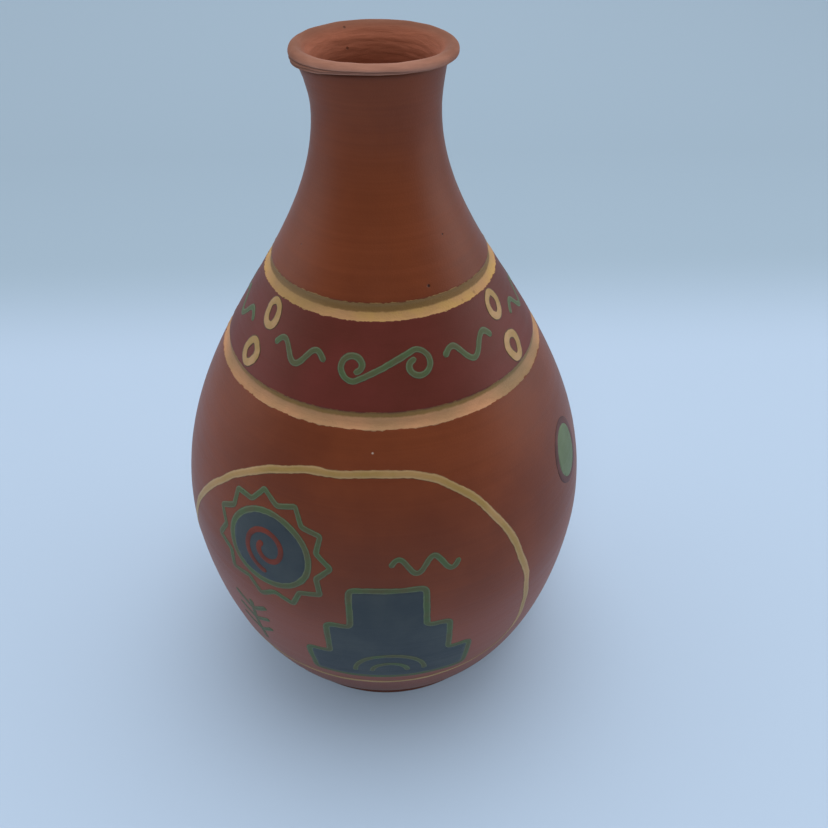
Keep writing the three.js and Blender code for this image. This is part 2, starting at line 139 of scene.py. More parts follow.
def grooveDepthAt(distance):
    across = min(abs(distance - middle) for middle in grooves) / grooveHalf
    return wall["grooveDepth"] * (1 - across * across) ** wall["grooveRound"] if across < 1 else 0.0


# Thrown by hand: the clay lies a little below the true line, by an amount that wanders.
# Pairs of numbers are the heights between which something comes in.

hand = {
    "sway": 0.08, "swaySize": 46.0, "swayWaves": 1.2,
    "rings": 0.025, "ringSize": 2.6, "ringWaves": 0.5, "ringSeed": 40,
    "creaseDepth": 0.35, "creaseWidth": 0.5,
    # ridges inside that climb round the wall, and finer marks in the mouth
    "insideRidges": 0.3, "ridgePitch": 5.5, "ridgeClimb": 0.5, "ridgeNoise": 0.8, "ridgeSize": 4,
    "mouth": (215, 224), "mouthMarks": 0.16, "marks": [(1.0, 2.2, 1.1), (0.6, 5, 0.5)],  # share, waves, size
    # the rim hangs lower at the left and the right than at the front and the rear
    "rimSag": 0.25, "rimSagOver": (204.0, 227), "lipSway": 0.08, "lipSwayOver": (218, 229),
    "lipSwayWaves": 1.5, "lipSwaySeed": 90, "lipLumps": 0.1, "lumpWaves": 5,
    # the lip was pulled a little wider on the left, its roll is thick there and thin at the front
    "lipPull": 0.6, "pulledAt": -85.0, "pulledSpan": 50.0, "pulledOver": (222, 228),
    "hangLeft": 1.55, "hangRight": 0.2, "hangFront": -0.5, "hangOver": (214, 226), "hangEnds": (226.8, 229.6),
    "creaseLean": 0.35, "creaseLeanOver": (212, 226),
    # folds on the roll of the lip: place on the roll at either end, and from where to where round the vase
    "folds": [(6, -32, -135, 30), (-20, -52, -135, 50), (-52, -60, 5, 110)],
    "foldDepth": 0.5, "foldWidth": 7.0, "foldFade": 30, "foldSway": 7, "foldWaves": 3,
    # degrees down the roll between which the painted shade of the crease comes in, and where that ends
    "creaseShadeOnRoll": (64, 84), "rollEnds": -100,
}


def smooth(value, low, high):
    share = min(max((value - low) / (high - low), 0.0), 1.0)
    return share * share * (3 - 2 * share)


def roundNoise(turn, waves, place):
    # noise from -1 to 1 that meets itself round the vase, finer with more waves
    return noise.noise(Vector((waves * math.sin(turn), waves * math.cos(turn), place)))


def unevenness(turn, distance):
    sway = roundNoise(turn, hand["swayWaves"], distance / hand["swaySize"])
    rings = roundNoise(turn, hand["ringWaves"], hand["ringSeed"] + distance / hand["ringSize"])
    underLip = (wallLength - distance) / hand["creaseWidth"]
    crease = hand["creaseDepth"] * math.exp(-underLip * underLip)
    return hand["sway"] * (1 + sway) + hand["rings"] * (1 + rings) + crease


def clayPoint(turn, distance, lift):
    # a point over the clay, lift above it
    point, normal = wallAt(distance)
    point = point + normal * (lift - grooveDepthAt(distance))
    return onCircle(turn, point.x - unevenness(turn, distance), point.y)


# Shader maths as plain expressions

dotEdges = (0.6, 1.3)  # a dot is full out to the first share of its radius, and gone at the second
spotEdges = (0.5, 1.3)


def linear(code):
    # a hex colour as linear light
    parts = [int(code[i:i + 2], 16) / 255 for i in (0, 2, 4)]
    return tuple(v / 12.92 if v < 0.04045 else ((v + 0.055) / 1.055) ** 2.4 for v in parts) + (1.0,)


class Wire:
    # wraps a socket, so that sums on it add Math nodes
    def __init__(self, finish, socket):
        self.finish = finish
        self.socket = socket

    def sum(self, operation, first, second):
        return self.finish.node("Math", {"operation": operation}, {0: first, 1: second})

    def __add__(self, other):
        return self.sum("ADD", self, other)

    def __radd__(self, other):
        return self.sum("ADD", other, self)

    def __sub__(self, other):
        return self.sum("SUBTRACT", self, other)

    def __rsub__(self, other):
        return self.sum("SUBTRACT", other, self)

    def __mul__(self, other):
        return self.sum("MULTIPLY", self, other)

    def __rmul__(self, other):
        return self.sum("MULTIPLY", other, self)

    def __abs__(self):
        return self.finish.node("Math", {"operation": "ABSOLUTE"}, {0: self})


class Finish:
    # one material, or the world, with the few building blocks that they share
    def __init__(self, name, tree=None):
        if tree is None:
            self.material = bpy.data.materials.new(name)
            self.material.use_nodes = True
            tree = self.material.node_tree
        self.nodes, self.links = tree.nodes, tree.links
        self.nodes.clear()

    def node(self, kind, settings, inputs, output=0):
        made = self.nodes.new("ShaderNode" + kind)
        for key, value in settings.items():
            setattr(made, key, value)
        live = [socket for socket in made.inputs if socket.enabled]
        for key, value in inputs.items():
            socket = live[key] if isinstance(key, int) else next(s for s in live if s.name == key)
            if isinstance(value, Wire):
                self.links.new(value.socket, socket)
            elif isinstance(value, str):
                socket.default_value = linear(value)
            else:
                socket.default_value = value[:3] if socket.type == "VECTOR" else value
        outputs = [socket for socket in made.outputs if socket.enabled and output in (0, socket.name)]
        return Wire(self, outputs[0]) if outputs else None

    def place(self, scale=(1, 1, 1)):
        # where on the object, stretched
        at = self.node("TexCoord", {}, {}, "Object")
        return self.node("Mapping", {}, {"Vector": at, "Scale": scale})

    def metres(self, axis):
        return self.node("SeparateXYZ", {}, {"Vector": self.place()}, axis)

    def cloud(self, size, detail=3.0, roughness=0.55, stretch=(1, 1, 1), distortion=0.0):
        # noise from 0 to 1 with patches about so many millimetres wide
        scale = tuple(s / (size * mm) for s in stretch)
        return self.node("TexNoise", {}, {"Vector": self.place(scale), "Scale": 1.0, "Detail": detail,
                                          "Roughness": roughness, "Distortion": distortion})

    def step(self, value, low, high):
        # 0 below low, 1 above high, smooth between
        return self.node("MapRange", {"interpolation_type": "SMOOTHSTEP"},
                         {"Value": value, "From Min": low, "From Max": high, "To Min": 0.0, "To Max": 1.0})

    def mix(self, share, first, second):
        return self.node("Mix", {"data_type": "RGBA"}, {"Factor": share, "A": first, "B": second})

    def shade(self, colour, strength):
        # a colour made darker or lighter
        return self.node("VectorMath", {"operation": "SCALE"}, {0: colour, "Scale": strength})

    def dots(self, spacing, radius):
        # small round dots, 1 inside, about so many millimetres apart, with soft edges
        cells = self.node("TexVoronoi", {}, {"Vector": self.place(), "Scale": 1 / (spacing * mm),
                                             "Randomness": 1.0}, "Distance")
        first, last = dotEdges
        return 1 - self.step(cells, first * radius / spacing, last * radius / spacing)

    def spots(self, places):
        # marks at chosen places, each a point and a radius in millimetres, with soft edges
        found = 0.0
        first, last = spotEdges
        for spot, radius in places:
            away = self.node("VectorMath", {"operation": "DISTANCE"},
                             {0: self.place(), 1: tuple(spot * mm)}, "Value")
            found = found + (1 - self.step(away, first * radius * mm, last * radius * mm))
        return found

    def own(self, name):
        return self.node("Attribute", {"attribute_name": name}, {}, "Fac")

    def close(self, colour, roughness, relief, reliefDepth, specular, metal=0.0):
        bump = self.node("Bump", {}, {"Height": relief, "Strength": 1.0, "Distance": reliefDepth * mm})
        surface = self.node("BsdfPrincipled", {}, {
            "Base Color": colour, "Roughness": roughness, "Metallic": metal,
            "Specular IOR Level": specular, "Normal": bump})
        self.node("OutputMaterial", {}, {"Surface": surface})
        return self.material


# Clay: burnished to a satin, with long level streaks, small pits and a paler, rougher lip

clayLook = {
    "colour": "6f361d", "dark": "5e2c19", "warm": "7c3e21", "low": "854a3a",
    "lip": "85543f", "lipPale": "bb8772", "inside": "955942", "deep": "672e1c",
    "crease": "4a281b", "pit": "1c0f0b", "speck": "b9a493",
    "roughness": 0.42, "lipRoughness": 0.72, "specular": 0.22, "relief": 0.1,
    # clouds: size, detail, roughness, how far they are drawn out level, distortion
    "patches": (38, 4), "streaks": (150, 4, 0.6, (1, 1, 62)), "fineStreaks": (60, 3, 0.6, (1, 1, 75)),
    "smears": (9, 4, 0.6, (1, 1, 7), 0.6), "grain": (0.55, 3, 0.6), "lipPatches": (7, 3, 0.5, (1, 1, 3)),
    # where a colour comes in or goes out: heights in metres, and for the painted light on the lip's front
    # metres to the rear
    "bounceFrom": (0.012, 0.04), "bounceTo": (0.05, 0.095), "footShadeTo": (0.004, 0.02), "mouthFrom": (0.214, 0.229),
    "lipFrontLightTo": (-0.024, -0.004),
    "patchEdges": (0.3, 0.7), "plainShare": 0.45, "bounceShare": 0.9, "creaseShadeShare": 0.6, "footShade": 0.22,
    # shades: how light the darkest streak or smear is, what the noises add, and how much painted shade
    # darkens the lip's top
    "shade": 0.84, "streakShade": 0.16, "fineShade": 0.2, "lipShade": 0.92, "lipSmear": 0.16,
    "lipTopShade": 0.2, "frontLightShare": 0.75, "lipMottle": 0.5, "insideShade": 0.75, "insideSmear": 0.5,
    # small pits, which gather in clouds
    "pitSpacing": 13, "pitRadius": 0.3, "pitClouds": (30, 1), "pitEdges": (0.55, 0.6),
    "pitShare": 0.85, "mouthPitShare": 0.7, "speckShare": 0.8,
    # pinholes and a pale speck: azimuth, height, radius
    "pinholes": [(24.9, 171.6, 0.5), (42.8, 182.6, 0.3), (-60.7, 164.6, 0.35), (-53.8, 178.9, 0.25)],
    "specks": [(-3.8, 132.1, 0.35), (16.6, 161.6, 0.25)],
    "mouthPits": [(Vector((-8.5, 17.0, 228.7)), 0.42), (Vector((-7.8, 13.95, 223.9)), 0.42)],
    # how much the noises change the gloss, and how much each raises the surface
    "streakGloss": 0.14, "grainGloss": 0.12,
    "streakRise": 0.35, "fineRise": 0.25, "grainRise": 0.4, "smearRise": 2, "pitDepth": 1.5,
}
# what a part of the clay is on, held by its vertices: the outside, the lip's side, its top, or the inside
onOutside, onLip, onLipTop, onInside = 1.0, 2.0, 2.5, 3.5


def onWall(marks):
    return [(onCircle(math.radians(azimuth), radiusAt(distanceAt(height)), height), radius)
            for azimuth, height, radius in marks]


def clayFinish():
    f = Finish("burnished_clay")
    look = clayLook
    height = f.metres("Z")
    zone = f.own("own")
    lip = f.step(zone, onOutside, onLip)
    lipTop = f.step(zone, onLip, onLipTop)
    inside = f.step(zone, onLipTop, onInside)
    streaks = f.cloud(*look["streaks"])
    fineStreaks = f.cloud(*look["fineStreaks"])
    smears = f.cloud(*look["smears"])
    grain = f.cloud(*look["grain"])
    colour = f.mix(f.step(f.cloud(*look["patches"]), *look["patchEdges"]), look["dark"], look["warm"])
    colour = f.mix(look["plainShare"], colour, look["colour"])
    # paler low on the belly, painted light thrown up from the floor, and darker close to the foot, painted
    # shade where it stands on the floor
    low = f.step(height, *look["bounceFrom"]) * (1 - f.step(height, *look["bounceTo"]))
    colour = f.mix(look["bounceShare"] * low, colour, look["low"])
    footShade = 1 - look["footShade"] + look["footShade"] * f.step(height, *look["footShadeTo"])
    streakShade = look["shade"] + look["streakShade"] * streaks + look["fineShade"] * fineStreaks
    colour = f.shade(colour, footShade * streakShade)
    # the lip is palest at the front, painted light where more light falls on it; its mottle is its own tone
    pale = look["frontLightShare"] * (1 - f.step(f.metres("Y"), *look["lipFrontLightTo"]))
    pale = pale + look["lipMottle"] * (f.cloud(*look["lipPatches"]) - 0.5)
    lipColour = f.mix(pale, look["lip"], look["lipPale"])
    # the top of the lip is made darker as painted shade
    lipShade = (look["lipShade"] + look["lipSmear"] * smears) * (1 - look["lipTopShade"] * lipTop)
    colour = f.mix(lip, colour, f.shade(lipColour, lipShade))
    # the inside darkens deeper into the mouth, painted shade
    insideColour = f.mix(f.step(height, *look["mouthFrom"]), look["deep"], look["inside"])
    insideShade = look["insideShade"] + look["insideSmear"] * smears
    colour = f.mix(inside, colour, f.shade(insideColour, insideShade))
    # painted shade in the crease under the lip and in the folds on its roll
    colour = f.mix(look["creaseShadeShare"] * f.own("crease"), colour, look["crease"])
    pits = f.dots(look["pitSpacing"], look["pitRadius"])
    pits = pits * f.step(f.cloud(*look["pitClouds"]), *look["pitEdges"]) * (1 - lip)
    pits = pits + f.spots(onWall(look["pinholes"])) + look["mouthPitShare"] * f.spots(look["mouthPits"])
    colour = f.mix(pits * look["pitShare"], colour, look["pit"])
    colour = f.mix(f.spots(onWall(look["specks"])) * look["speckShare"], colour, look["speck"])
    roughness = look["roughness"] + look["streakGloss"] * (streaks - 0.5) + look["grainGloss"] * (grain - 0.5)
    roughness = roughness + lip * (look["lipRoughness"] - look["roughness"])
    relief = look["streakRise"] * streaks + look["fineRise"] * fineStreaks + look["grainRise"] * grain
    relief = relief + look["smearRise"] * smears * lip - look["pitDepth"] * pits
    return f.close(colour, roughness, relief, look["relief"], look["specular"]), "clay"


# Paints: each is a coat with its own colour, brush streaks and worn specks.
# A stripe is a colour, from where to where it comes in, and its share.
# A stroke's stripes go by how far out from its middle line they are, a turned band's by how far up.

paintWork = {
    "grain": (0.5, 3, 0.6), "smears": (4, 4, 0.65, (1, 1, 3.5), 0.8), "bristleScale": (1.2, 9, 1),
    "bristleDetail": 3.0, "turnedBristles": (90, 4, 0.6, (1, 1, 70)), "specular": 0.25,
    "patchDetail": 4, "patchEdges": (0.35, 0.65),
    # how ragged the stripes are: shares and sizes of the noises that move their edges
    "strokeRagged": [(0.25, 1.6)], "turnedRagged": [(0.14, 14), (0.12, 1.3)], "raggedDetail": 2,
    "bristleShade": 0.5, "smearShade": 0.5,
    # worn specks, which gather in clouds
    "speckRadius": 0.25, "speckClouds": (9, 1), "speckEdges": (0.5, 0.56), "speckShare": 0.8,
    "bristleGloss": 0.2, "grainGloss": 0.1, "bristleRise": 0.5, "smearRise": 0.6, "grainRise": 0.4,
}


def paintFinish(look):
    f = Finish(look["name"])
    work = paintWork
    grain = f.cloud(*work["grain"])
    smears = f.cloud(*work["smears"])
    patches = f.step(f.cloud(look["patchSize"], work["patchDetail"]), *work["patchEdges"])
    colour = f.mix(patches, look["colour"], look["other"])
    if look["laid"] == "stroke":
        uv = f.node("UVMap", {"uv_map": "stroke"}, {})
        stretched = f.node("Mapping", {}, {"Vector": uv, "Scale": work["bristleScale"]})
        bristles = f.node("TexNoise", {}, {"Vector": stretched, "Scale": 1.0,
                                           "Detail": work["bristleDetail"]})
        side = abs(2 * f.node("SeparateXYZ", {}, {"Vector": uv}, "Y") - 1)
        ragged = work["strokeRagged"]
    else:
        bristles = f.cloud(*work["turnedBristles"])
        side = f.own("own")
        ragged = work["turnedRagged"]
    for share, size in ragged:
        side = side + share * (f.cloud(size, work["raggedDetail"]) - 0.5)
    for stripe, first, last, share in look.get("stripes", []):
        colour = f.mix(f.step(side, first, last) * share, colour, stripe)
    for tint, share, places in look.get("tints", []):
        colour = f.mix(f.spots(onWall(places)) * share, colour, tint)
    streaks = look["streaks"]
    brushed = work["bristleShade"] * bristles + work["smearShade"] * smears
    colour = f.shade(colour, 1 - streaks / 2 + streaks * brushed)
    specks = f.dots(look["speckSpacing"], work["speckRadius"])
    specks = specks * f.step(f.cloud(*work["speckClouds"]), *work["speckEdges"])
    specks = specks + f.spots(onWall(look.get("pits", [])))
    colour = f.mix(specks * work["speckShare"], colour, look["speck"])
    roughness = look["roughness"] + work["bristleGloss"] * (bristles - 0.5)
    roughness = roughness + work["grainGloss"] * (grain - 0.5)
    relief = work["bristleRise"] * bristles + work["smearRise"] * smears + work["grainRise"] * grain - specks
    specular = look.get("specular", work["specular"])
    return f.close(colour, roughness, relief, look["relief"], specular, look.get("metal", 0.0)), look["slot"]


redSlipLook = {
    "name": "dark_red_slip", "slot": "red_slip", "laid": "field",
    "colour": "642b23", "other": "5a271c", "patchSize": 30, "streaks": 0.22,
    "speck": "2a1512", "speckSpacing": 9, "roughness": 0.5, "relief": 0.06,
}
rimLook = {
    "name": "dark_red_rim", "slot": "red_slip", "laid": "stroke",
    "colour": "5c322c", "other": "4e2a25", "patchSize": 8,
    "stripes": [("3a211e", 0.6, 0.9, 0.6)], "streaks": 0.3,
    "speck": "2a1512", "speckSpacing": 9, "roughness": 0.52, "relief": 0.08,
}
# the darker stripes high in each gold band are painted shade on the groove's upper wall
lowerBandLook = {
    "name": "gold_lower_band_paint", "slot": "gold_paint", "laid": "turned",
    "colour": "b78763", "other": "a47f5c", "patchSize": 16,
    "stripes": [("7c6236", 0.62, 0.76, 0.85), ("6a4a33", 0.86, 0.97, 0.7)], "streaks": 0.55, "specular": 0.15,
    "pits": [(-49.9, 139.4, 0.4), (-49.5, 138.2, 0.3)],
    "tints": [("7a6a4e", 0.5, [(62, 140, 18)]), ("8a6c4c", 0.4, [(-62, 140, 16)])],  # darker at either side, on the right as painted shade
    "speck": "3a2516", "speckSpacing": 6, "roughness": 0.52, "relief": 0.2, "metal": 0.08,
}
upperBandLook = {
    "name": "gold_upper_band_paint", "slot": "gold_paint", "laid": "turned",
    "colour": "b38f55", "other": "ad855c", "patchSize": 14,
    "stripes": [("745834", 0.46, 0.58, 0.9), ("846742", 0.74, 0.9, 0.8)], "streaks": 0.5, "specular": 0.15,
    "pits": [(-52, 164.5, 0.4)],
    # darker on the left, with a broken dark line on the right of smudges and painted shade under the groove's
    # cut edge
    "tints": [("80694a", 0.45, [(-50, 164.5, 14)]),
              ("4a3520", 0.75, [(24, 165.3, 0.4), (27, 165.5, 0.5), (33, 165.4, 0.6), (36, 165.7, 0.4),
                                (42, 165.5, 0.7), (45, 165.8, 0.5), (51, 165.6, 0.8), (60, 165.9, 0.6)])],
    "speck": "3a2516", "speckSpacing": 7, "roughness": 0.52, "relief": 0.2, "metal": 0.08,
}
frameLook = {
    "name": "gold_frame_paint", "slot": "gold_paint", "laid": "stroke",
    "colour": "aa8757", "other": "9c7f48", "patchSize": 14,
    # the pale middle stripe is a painted highlight along the raised line; the dark edges are its outline
    "stripes": [("b99b78", 0.3, 0.7, 0.35), ("523421", 0.82, 0.96, 0.75)], "streaks": 0.45,
    "speck": "4a2f1c", "speckSpacing": 7, "roughness": 0.44, "relief": 0.12, "metal": 0.12,
}
ringLook = {
    "name": "gold_ring_paint", "slot": "gold_paint", "laid": "stroke",
    "colour": "aa885f", "other": "997c4a", "patchSize": 5,
    "stripes": [("3f2a1c", 0.74, 0.84, 0.9)], "streaks": 0.34,
    "speck": "4a2f1c", "speckSpacing": 6, "roughness": 0.44, "relief": 0.12, "metal": 0.12,
}
greenLook = {
    "name": "green_stroke_paint", "slot": "green_paint", "laid": "stroke",
    "colour": "4b5c3c", "other": "53543a", "patchSize": 6,
    # the pale stripes towards the edges are painted highlights on the paint's ridges; the dark edges are its
    # outline
    "stripes": [("75826a", 0.45, 0.75, 0.35), ("352f22", 0.84, 0.97, 0.8)], "streaks": 0.6,
    "speck": "2b2a20", "speckSpacing": 6, "roughness": 0.56, "relief": 0.12,
}
discLook = {
    "name": "green_disc_paint", "slot": "green_paint", "laid": "field",
    "colour": "637254", "other": "5b6a4b", "patchSize": 9, "streaks": 0.14,
    "speck": "3c4a3f", "speckSpacing": 5, "roughness": 0.55, "relief": 0.06,
}
slateLook = {
    "name": "slate_field_paint", "slot": "slate_paint", "laid": "field",
    "colour": "3d4548", "other": "343d43", "patchSize": 14, "streaks": 0.2,
    "speck": "6a7682", "speckSpacing": 11, "roughness": 0.5, "relief": 0.06,
}
spiralLook = {
    "name": "red_spiral_paint", "slot": "red_paint", "laid": "stroke",
    "colour": "743221", "other": "612e23", "patchSize": 7,
    "stripes": [("4a2a28", 0.8, 1.0, 0.4)], "streaks": 0.3,
    "speck": "3a1a14", "speckSpacing": 8, "roughness": 0.55, "relief": 0.08,
}

# each finish is a material and the slot that it belongs to
clay = clayFinish()
redSlip = paintFinish(redSlipLook)
redRim = paintFinish(rimLook)
lowerBandGold = paintFinish(lowerBandLook)
upperBandGold = paintFinish(upperBandLook)
frameGold = paintFinish(frameLook)
ringGold = paintFinish(ringLook)
strokeGreen = paintFinish(greenLook)
discGreen = paintFinish(discLook)
fieldSlate = paintFinish(slateLook)
spiralRed = paintFinish(spiralLook)
print("finishes made")


# From a bmesh in millimetres to a piece that rides on the frame

def meshObject(bm, name, material):
    mesh = bpy.data.meshes.new(name)
    bm.to_mesh(mesh)
    bm.free()
    mesh.materials.append(material)
    made = bpy.data.objects.new(name, mesh)
    bpy.context.scene.collection.objects.link(made)
    return made


def makePiece(bm, name, node, finish):
    material, slot = finish
    bmesh.ops.remove_doubles(bm, verts=bm.verts, dist=weldWithin)
    bmesh.ops.recalc_face_normals(bm, faces=bm.faces)
    bmesh.ops.scale(bm, vec=(mm, mm, mm), verts=bm.verts)
    for face in bm.faces:
        face.smooth = True
    piece = meshObject(bm, name, material)
    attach(piece, "root")
    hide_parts(node)


def spread(first, last, step):
    count = max(1, math.ceil((last - first) / step))
    return [first + (last - first) * i / count for i in range(count + 1)]


# Turned shapes: a profile whose corners know their distance along the wall, spun about the axis.
# A profile's rows are radius, height, distance along the wall, and a number for the shape's own use.

def turnedShape(rows, steps, closed):
    bm = bmesh.new()
    along = bm.verts.layers.float.new("along")
    own = bm.verts.layers.float.new("own")
    line = []
    for radius, height, distance, number in rows:
        vert = bm.verts.new((0, -radius, height))
        vert[along], vert[own] = distance, number
        line.append(vert)
    edges = [bm.edges.new(pair) for pair in zip(line, line[1:] + line[:1] if closed else line[1:])]
    # a sixteenth is spun, then doubled until it goes all round, which is much quicker than one full spin
    doublings = 4
    angle = 2 * math.pi / 2 ** doublings
    bmesh.ops.spin(bm, geom=line + edges, cent=(0, 0, 0), axis=(0, 0, 1), angle=angle,
                   steps=steps // 2 ** doublings, use_merge=False, use_duplicate=False, use_normal_flip=False)
    for _ in range(doublings):
        twin = bmesh.ops.duplicate(bm, geom=bm.verts[:] + bm.edges[:] + bm.faces[:])["geom"]
        bmesh.ops.rotate(bm, cent=(0, 0, 0), matrix=Matrix.Rotation(angle, 3, "Z"),
                         verts=[part for part in twin if isinstance(part, bmesh.types.BMVert)])
        angle *= 2
    bmesh.ops.remove_doubles(bm, verts=bm.verts, dist=weldWithin)
    return bm, along, own


# The body: all of the clay in one piece

body = {
    "steps": 240, "rowStep": 1.8, "lipRowStep": 0.35, "nearLip": 6, "insideStep": 3.2,
    # the underside's rows: radius, zone
    "underside": [(0.0, 0.0), (12.0, 0.0), (24.0, 0.0), (34.0, 0.0), (42.0, 0.0), (45.5, 0.6)],
    "undersideEdge": 0.6, "footRound": 0.6, "footDegrees": (-60, -30, 0), "footTop": 2.2,
    "lipRadius": 22.9, "lipThickness": 3.4, "lipTop": 230.0, "mouthRadius": 17.6, "mouthHeight": 227.4,
    "rollDegrees": (-94, 111, 6), "rollTop": (10, 90), "pastCrease": 4,
    "throatRadius": 14.55, "throatOverlap": 1.5, "floorCorner": 7.0, "floorRadii": (28.0, 18.0, 9.0, 0.0),
    # handles of the curves over the lip, through the mouth and at the floor's corner, and their points
    "lipHandle": (-1.4, -0.5), "mouthUp": (0.7, 1.0), "mouthDown": (-2.1, -2.8), "throatUp": (0, 6),
    "lipPoints": 9, "mouthPoints": 38, "cornerHandle": 0.6, "cornerOut": (2, 0), "cornerIn": (4, 0),
    "cornerPoints": 8,
}


def outsideRows():
    # distances along the wall: even, but close together in the grooves and under the lip
    rows = []
    start = 0.0
    for middle in grooves:
        rows += spread(start, middle - grooveHalf - 0.5, body["rowStep"])
        rows += [middle + grooveHalf * share for share in grooveRows]
        start = middle + grooveHalf + 0.5
    nearLip = wallLength - body["nearLip"]
    rows += spread(start, nearLip, body["rowStep"])
    return rows + spread(nearLip, wallLength, body["lipRowStep"])[1:]


def clayThickness(height):
    towardsNeck = smooth(height, wall["bellyHeight"], wall["waistHeight"])
    return wall["bellyThickness"] + (wall["neckThickness"] - wall["bellyThickness"]) * towardsNeck


def bodyProfile():
    # the underside, its zone below 1 so that it stays flat, and the rounded edge of the foot
    edge, footRound = wall["footRadius"], body["footRound"]
    rows = [(radius, 0.0, 0.0, zone) for radius, zone in body["underside"]]
    rows.append((edge - footRound, 0.0, 0.0, body["undersideEdge"]))
    for degrees in body["footDegrees"]:
        turn = math.radians(degrees)
        rows.append((edge - footRound + footRound * math.cos(turn), footRound + footRound * math.sin(turn),
                     0.0, onOutside))
    rows.append((edge, body["footTop"], 0.0, onOutside))
    for distance in outsideRows():
        point, normal = wallAt(distance)
        point = point - normal * grooveDepthAt(distance)
        rows.append((point.x, point.y, distance, onOutside))
    # rolled lip, from the crease over the top, then a funnel through the mouth to the throat
    roll = body["lipThickness"] / 2
    middle = Vector((body["lipRadius"] - roll, body["lipTop"] - roll))
    pastCrease = wallLength + body["pastCrease"]
    for degrees in range(*body["rollDegrees"]):
        turn = math.radians(degrees)
        zone = onLip + (onLipTop - onLip) * smooth(degrees, *body["rollTop"])
        rows.append((middle.x + roll * math.cos(turn), middle.y + roll * math.sin(turn), pastCrease, zone))
    top = Vector(rows[-1][:2])
    mouth = Vector((body["mouthRadius"], body["mouthHeight"]))
    throat = Vector((body["throatRadius"], wall["waistHeight"]))
    overLip = (top, top + Vector(body["lipHandle"]), mouth + Vector(body["mouthUp"]), mouth)
    for i, p in enumerate(bezier(overLip, body["lipPoints"])):
        rows.append((p.x, p.y, pastCrease, onLipTop + i / (body["lipPoints"] - 1)))
    funnel = (mouth, mouth + Vector(body["mouthDown"]), throat + Vector(body["throatUp"]), throat)
    rows += [(p.x, p.y, pastCrease, onInside) for p in bezier(funnel, body["mouthPoints"])[1:]]
    # down the inside to the floor
    floor = wall["floorThickness"]
    waist = distanceAt(wall["waistHeight"])
    for distance in spread(0, waist - body["throatOverlap"], body["insideStep"])[::-1]:
        point, normal = wallAt(distance)
        inner = point - normal * clayThickness(point.y)
        if inner.y > floor + body["floorCorner"]:
            rows.append((inner.x, inner.y, distance, onInside))
            lowest = inner
    corner = Vector((lowest.x - (lowest.y - floor), floor))
    bend = (lowest, lowest.lerp(corner, body["cornerHandle"]), corner + Vector(body["cornerOut"]),
            corner - Vector(body["cornerIn"]))
    rows += [(p.x, p.y, 0.0, onOutside) for p in bezier(bend, body["cornerPoints"])[1:]]
    return rows + [(radius, floor, 0.0, 0.0) for radius in body["floorRadii"]]


def insideDent(turn, height):
    inMouth = smooth(height, *hand["mouth"])
    ridges = hand["ridgeClimb"] * math.sin(2 * math.pi * height / hand["ridgePitch"] + turn)
    ridges += hand["ridgeNoise"] * roundNoise(turn, 1, height / hand["ridgeSize"])
    marks = sum(share * roundNoise(turn, waves, height / size) for share, waves, size in hand["marks"])
    return hand["insideRidges"] * ridges * (1 - inMouth) + hand["mouthMarks"] * marks * inMouth


def lipFold(turn, rolled):
    # how deep in a fold a place on the roll of the lip is, from 0 to 1
    degrees = math.degrees(turn)
    fade = hand["foldFade"]
    deepest = 0.0
    for first, last, start, end in hand["folds"]:
        share = smooth(degrees, start, start + fade) * smooth(-degrees, -end, fade - end)
        line = first + (last - first) * (degrees - start) / (end - start)
        line += hand["foldSway"] * roundNoise(turn, hand["foldWaves"], first)
        deepest = max(deepest, share * math.exp(-((rolled - line) / hand["foldWidth"]) ** 2))
    return deepest


def throwBody():
    bm, along, own = turnedShape(bodyProfile(), body["steps"], False)
    # painted shade, from 0 to 1, in the crease under the lip and in the folds and underside of the lip's roll
    crease = bm.verts.layers.float.new("crease")
    roll = body["lipThickness"] / 2
    for vert in bm.verts:
        radius = math.hypot(vert.co.x, vert.co.y)
        if radius < 1:  # the middle of the underside, and of the floor
            continue
        turn = math.atan2(vert.co.x, -vert.co.y)
        height = vert.co.z
        inside = min(max(vert[own] - onLipTop, 0.0), 1.0)
        dent = unevenness(turn, vert[along]) * min(vert[own], onOutside) * (1 - inside)
        dent += insideDent(turn, height) * inside
        if vert[own] <= onOutside:
            vert[crease] = math.exp(-((wallLength - vert[along]) / hand["creaseWidth"]) ** 2)
            dent += hand["creaseLean"] * math.sin(turn) * smooth(height, *hand["creaseLeanOver"])
        if vert[own] >= onLip and inside < 1:
            rolled = math.atan2(height - body["lipTop"] + roll, radius - body["lipRadius"] + roll)
            degrees = math.degrees(rolled)
            fold = lipFold(turn, degrees)
            lump = 1 + roundNoise(turn, hand["lumpWaves"], rolled)
            push = (hand["lipLumps"] * lump + hand["foldDepth"] * fold) * (1 - inside)
            dent += push * math.cos(rolled)
            vert.co.z -= push * math.sin(rolled)
            onRoll = smooth(-degrees, *hand["creaseShadeOnRoll"]) if degrees > hand["rollEnds"] else 0
            vert[crease] = max(fold, onRoll)
        pulled = (math.degrees(turn) - hand["pulledAt"]) / hand["pulledSpan"]
        dent -= hand["lipPull"] * math.exp(-pulled * pulled) * smooth(height, *hand["pulledOver"])
        underside = smooth(height, *hand["hangOver"]) * (1 - smooth(height, *hand["hangEnds"])) * (1 - inside)
        hang = hand["hangLeft" if turn < 0 else "hangRight"] * math.sin(turn) ** 2
        hang += hand["hangFront"] * max(math.cos(turn), 0) ** 2
        vert.co.z -= hang * underside
        sway = roundNoise(turn, hand["lipSwayWaves"], hand["lipSwaySeed"])
        vert.co.z -= hand["lipSway"] * (1 + sway) * smooth(height, *hand["lipSwayOver"])
        vert.co.z -= hand["rimSag"] * math.sin(turn) ** 2 * smooth(height, *hand["rimSagOver"])
        vert.co.x *= (radius - dent) / radius
        vert.co.y *= (radius - dent) / radius
    makePiece(bm, "thrown_clay", "thrown_body", clay)


throwBody()
print("clay thrown")


# Coats all round: the gold bands in their grooves, and the red slip between them

